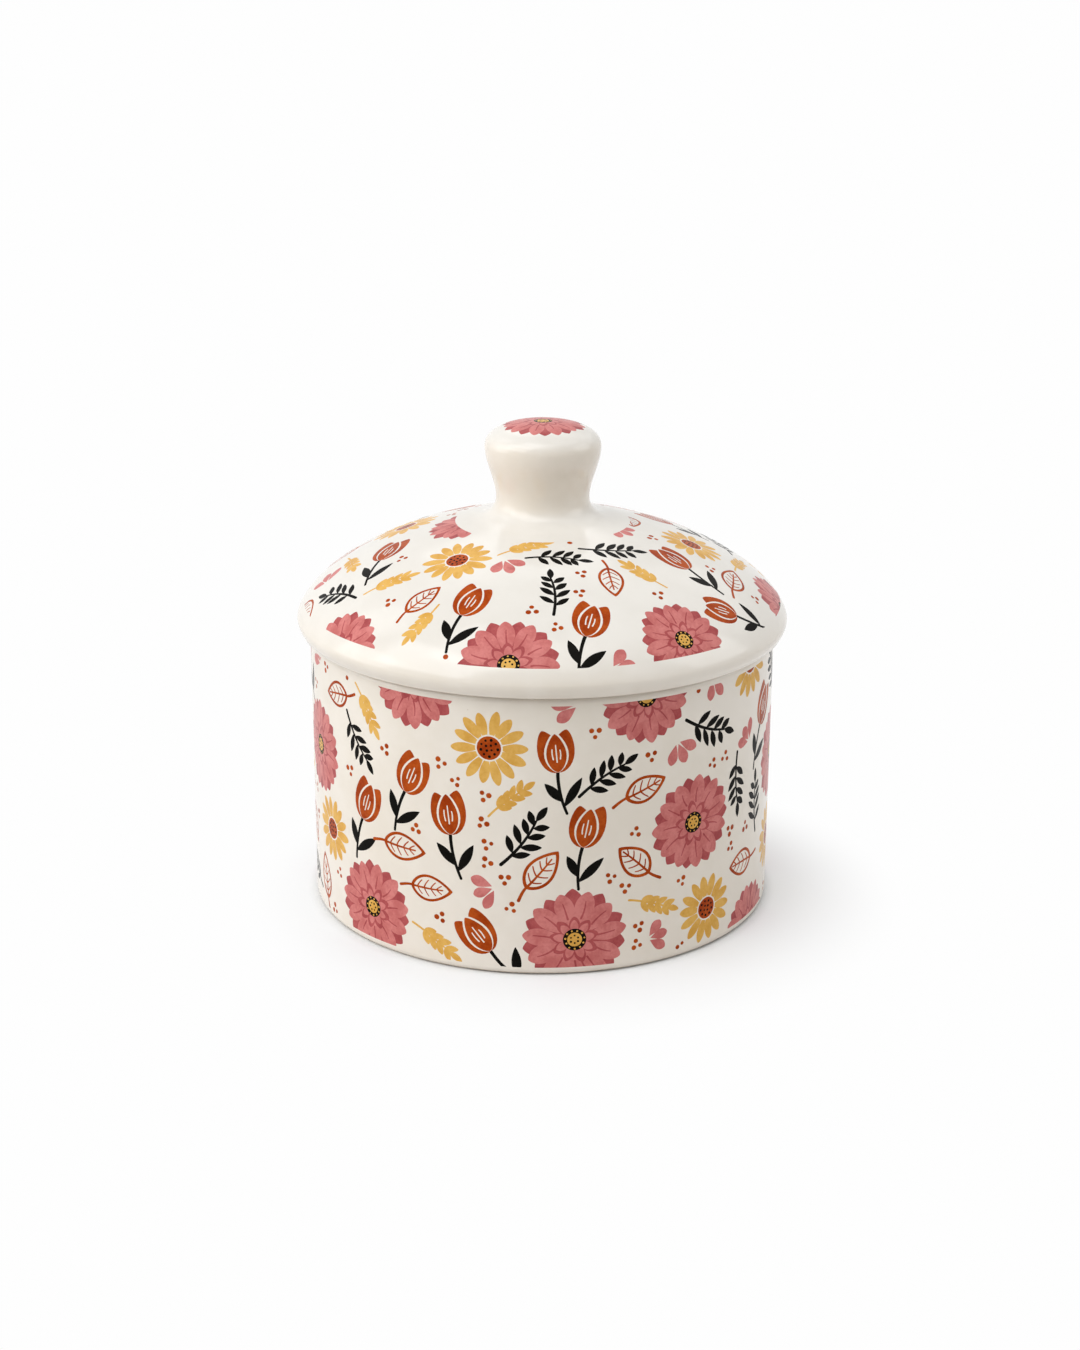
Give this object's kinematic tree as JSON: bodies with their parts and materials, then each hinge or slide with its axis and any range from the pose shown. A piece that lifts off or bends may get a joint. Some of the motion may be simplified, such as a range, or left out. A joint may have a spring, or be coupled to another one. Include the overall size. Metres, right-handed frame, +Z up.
{
  "type": "storage jar",
  "caption": "Round, straight-sided ceramic storage jar with a domed lid that lifts off, located in the mouth by a flange, and a flared knob on its crown.",
  "frame": {"origin": "on the jar's axis, on the surface that the foot ring stands on", "axes": "+Z up along the jar's axis, the way the lid lifts; -Y faces the picture's camera and +X is its right"},
  "size_m": [0.1264, 0.1264, 0.1255],
  "materials": {
    "jar_glaze": "soft gloss ivory glaze over white ware, with a fired floral transfer print on the wall",
    "lid_glaze": "soft gloss ivory glaze over white ware, with a fired floral transfer print on the dome",
    "knob_glaze": "soft gloss ivory glaze over white ware, with a small fired flower on its top"
  },
  "bodies": {
    "jar": {"jar_body": "jar_glaze"},
    "lid": {"lid": "lid_glaze", "knob": "knob_glaze"}
  },
  "joints": [
    {"name": "lid_lift", "type": "slide", "parent": "jar", "child": "lid", "axis": [0, 0, 1], "range_m": [0, 0.1]}
  ]
}
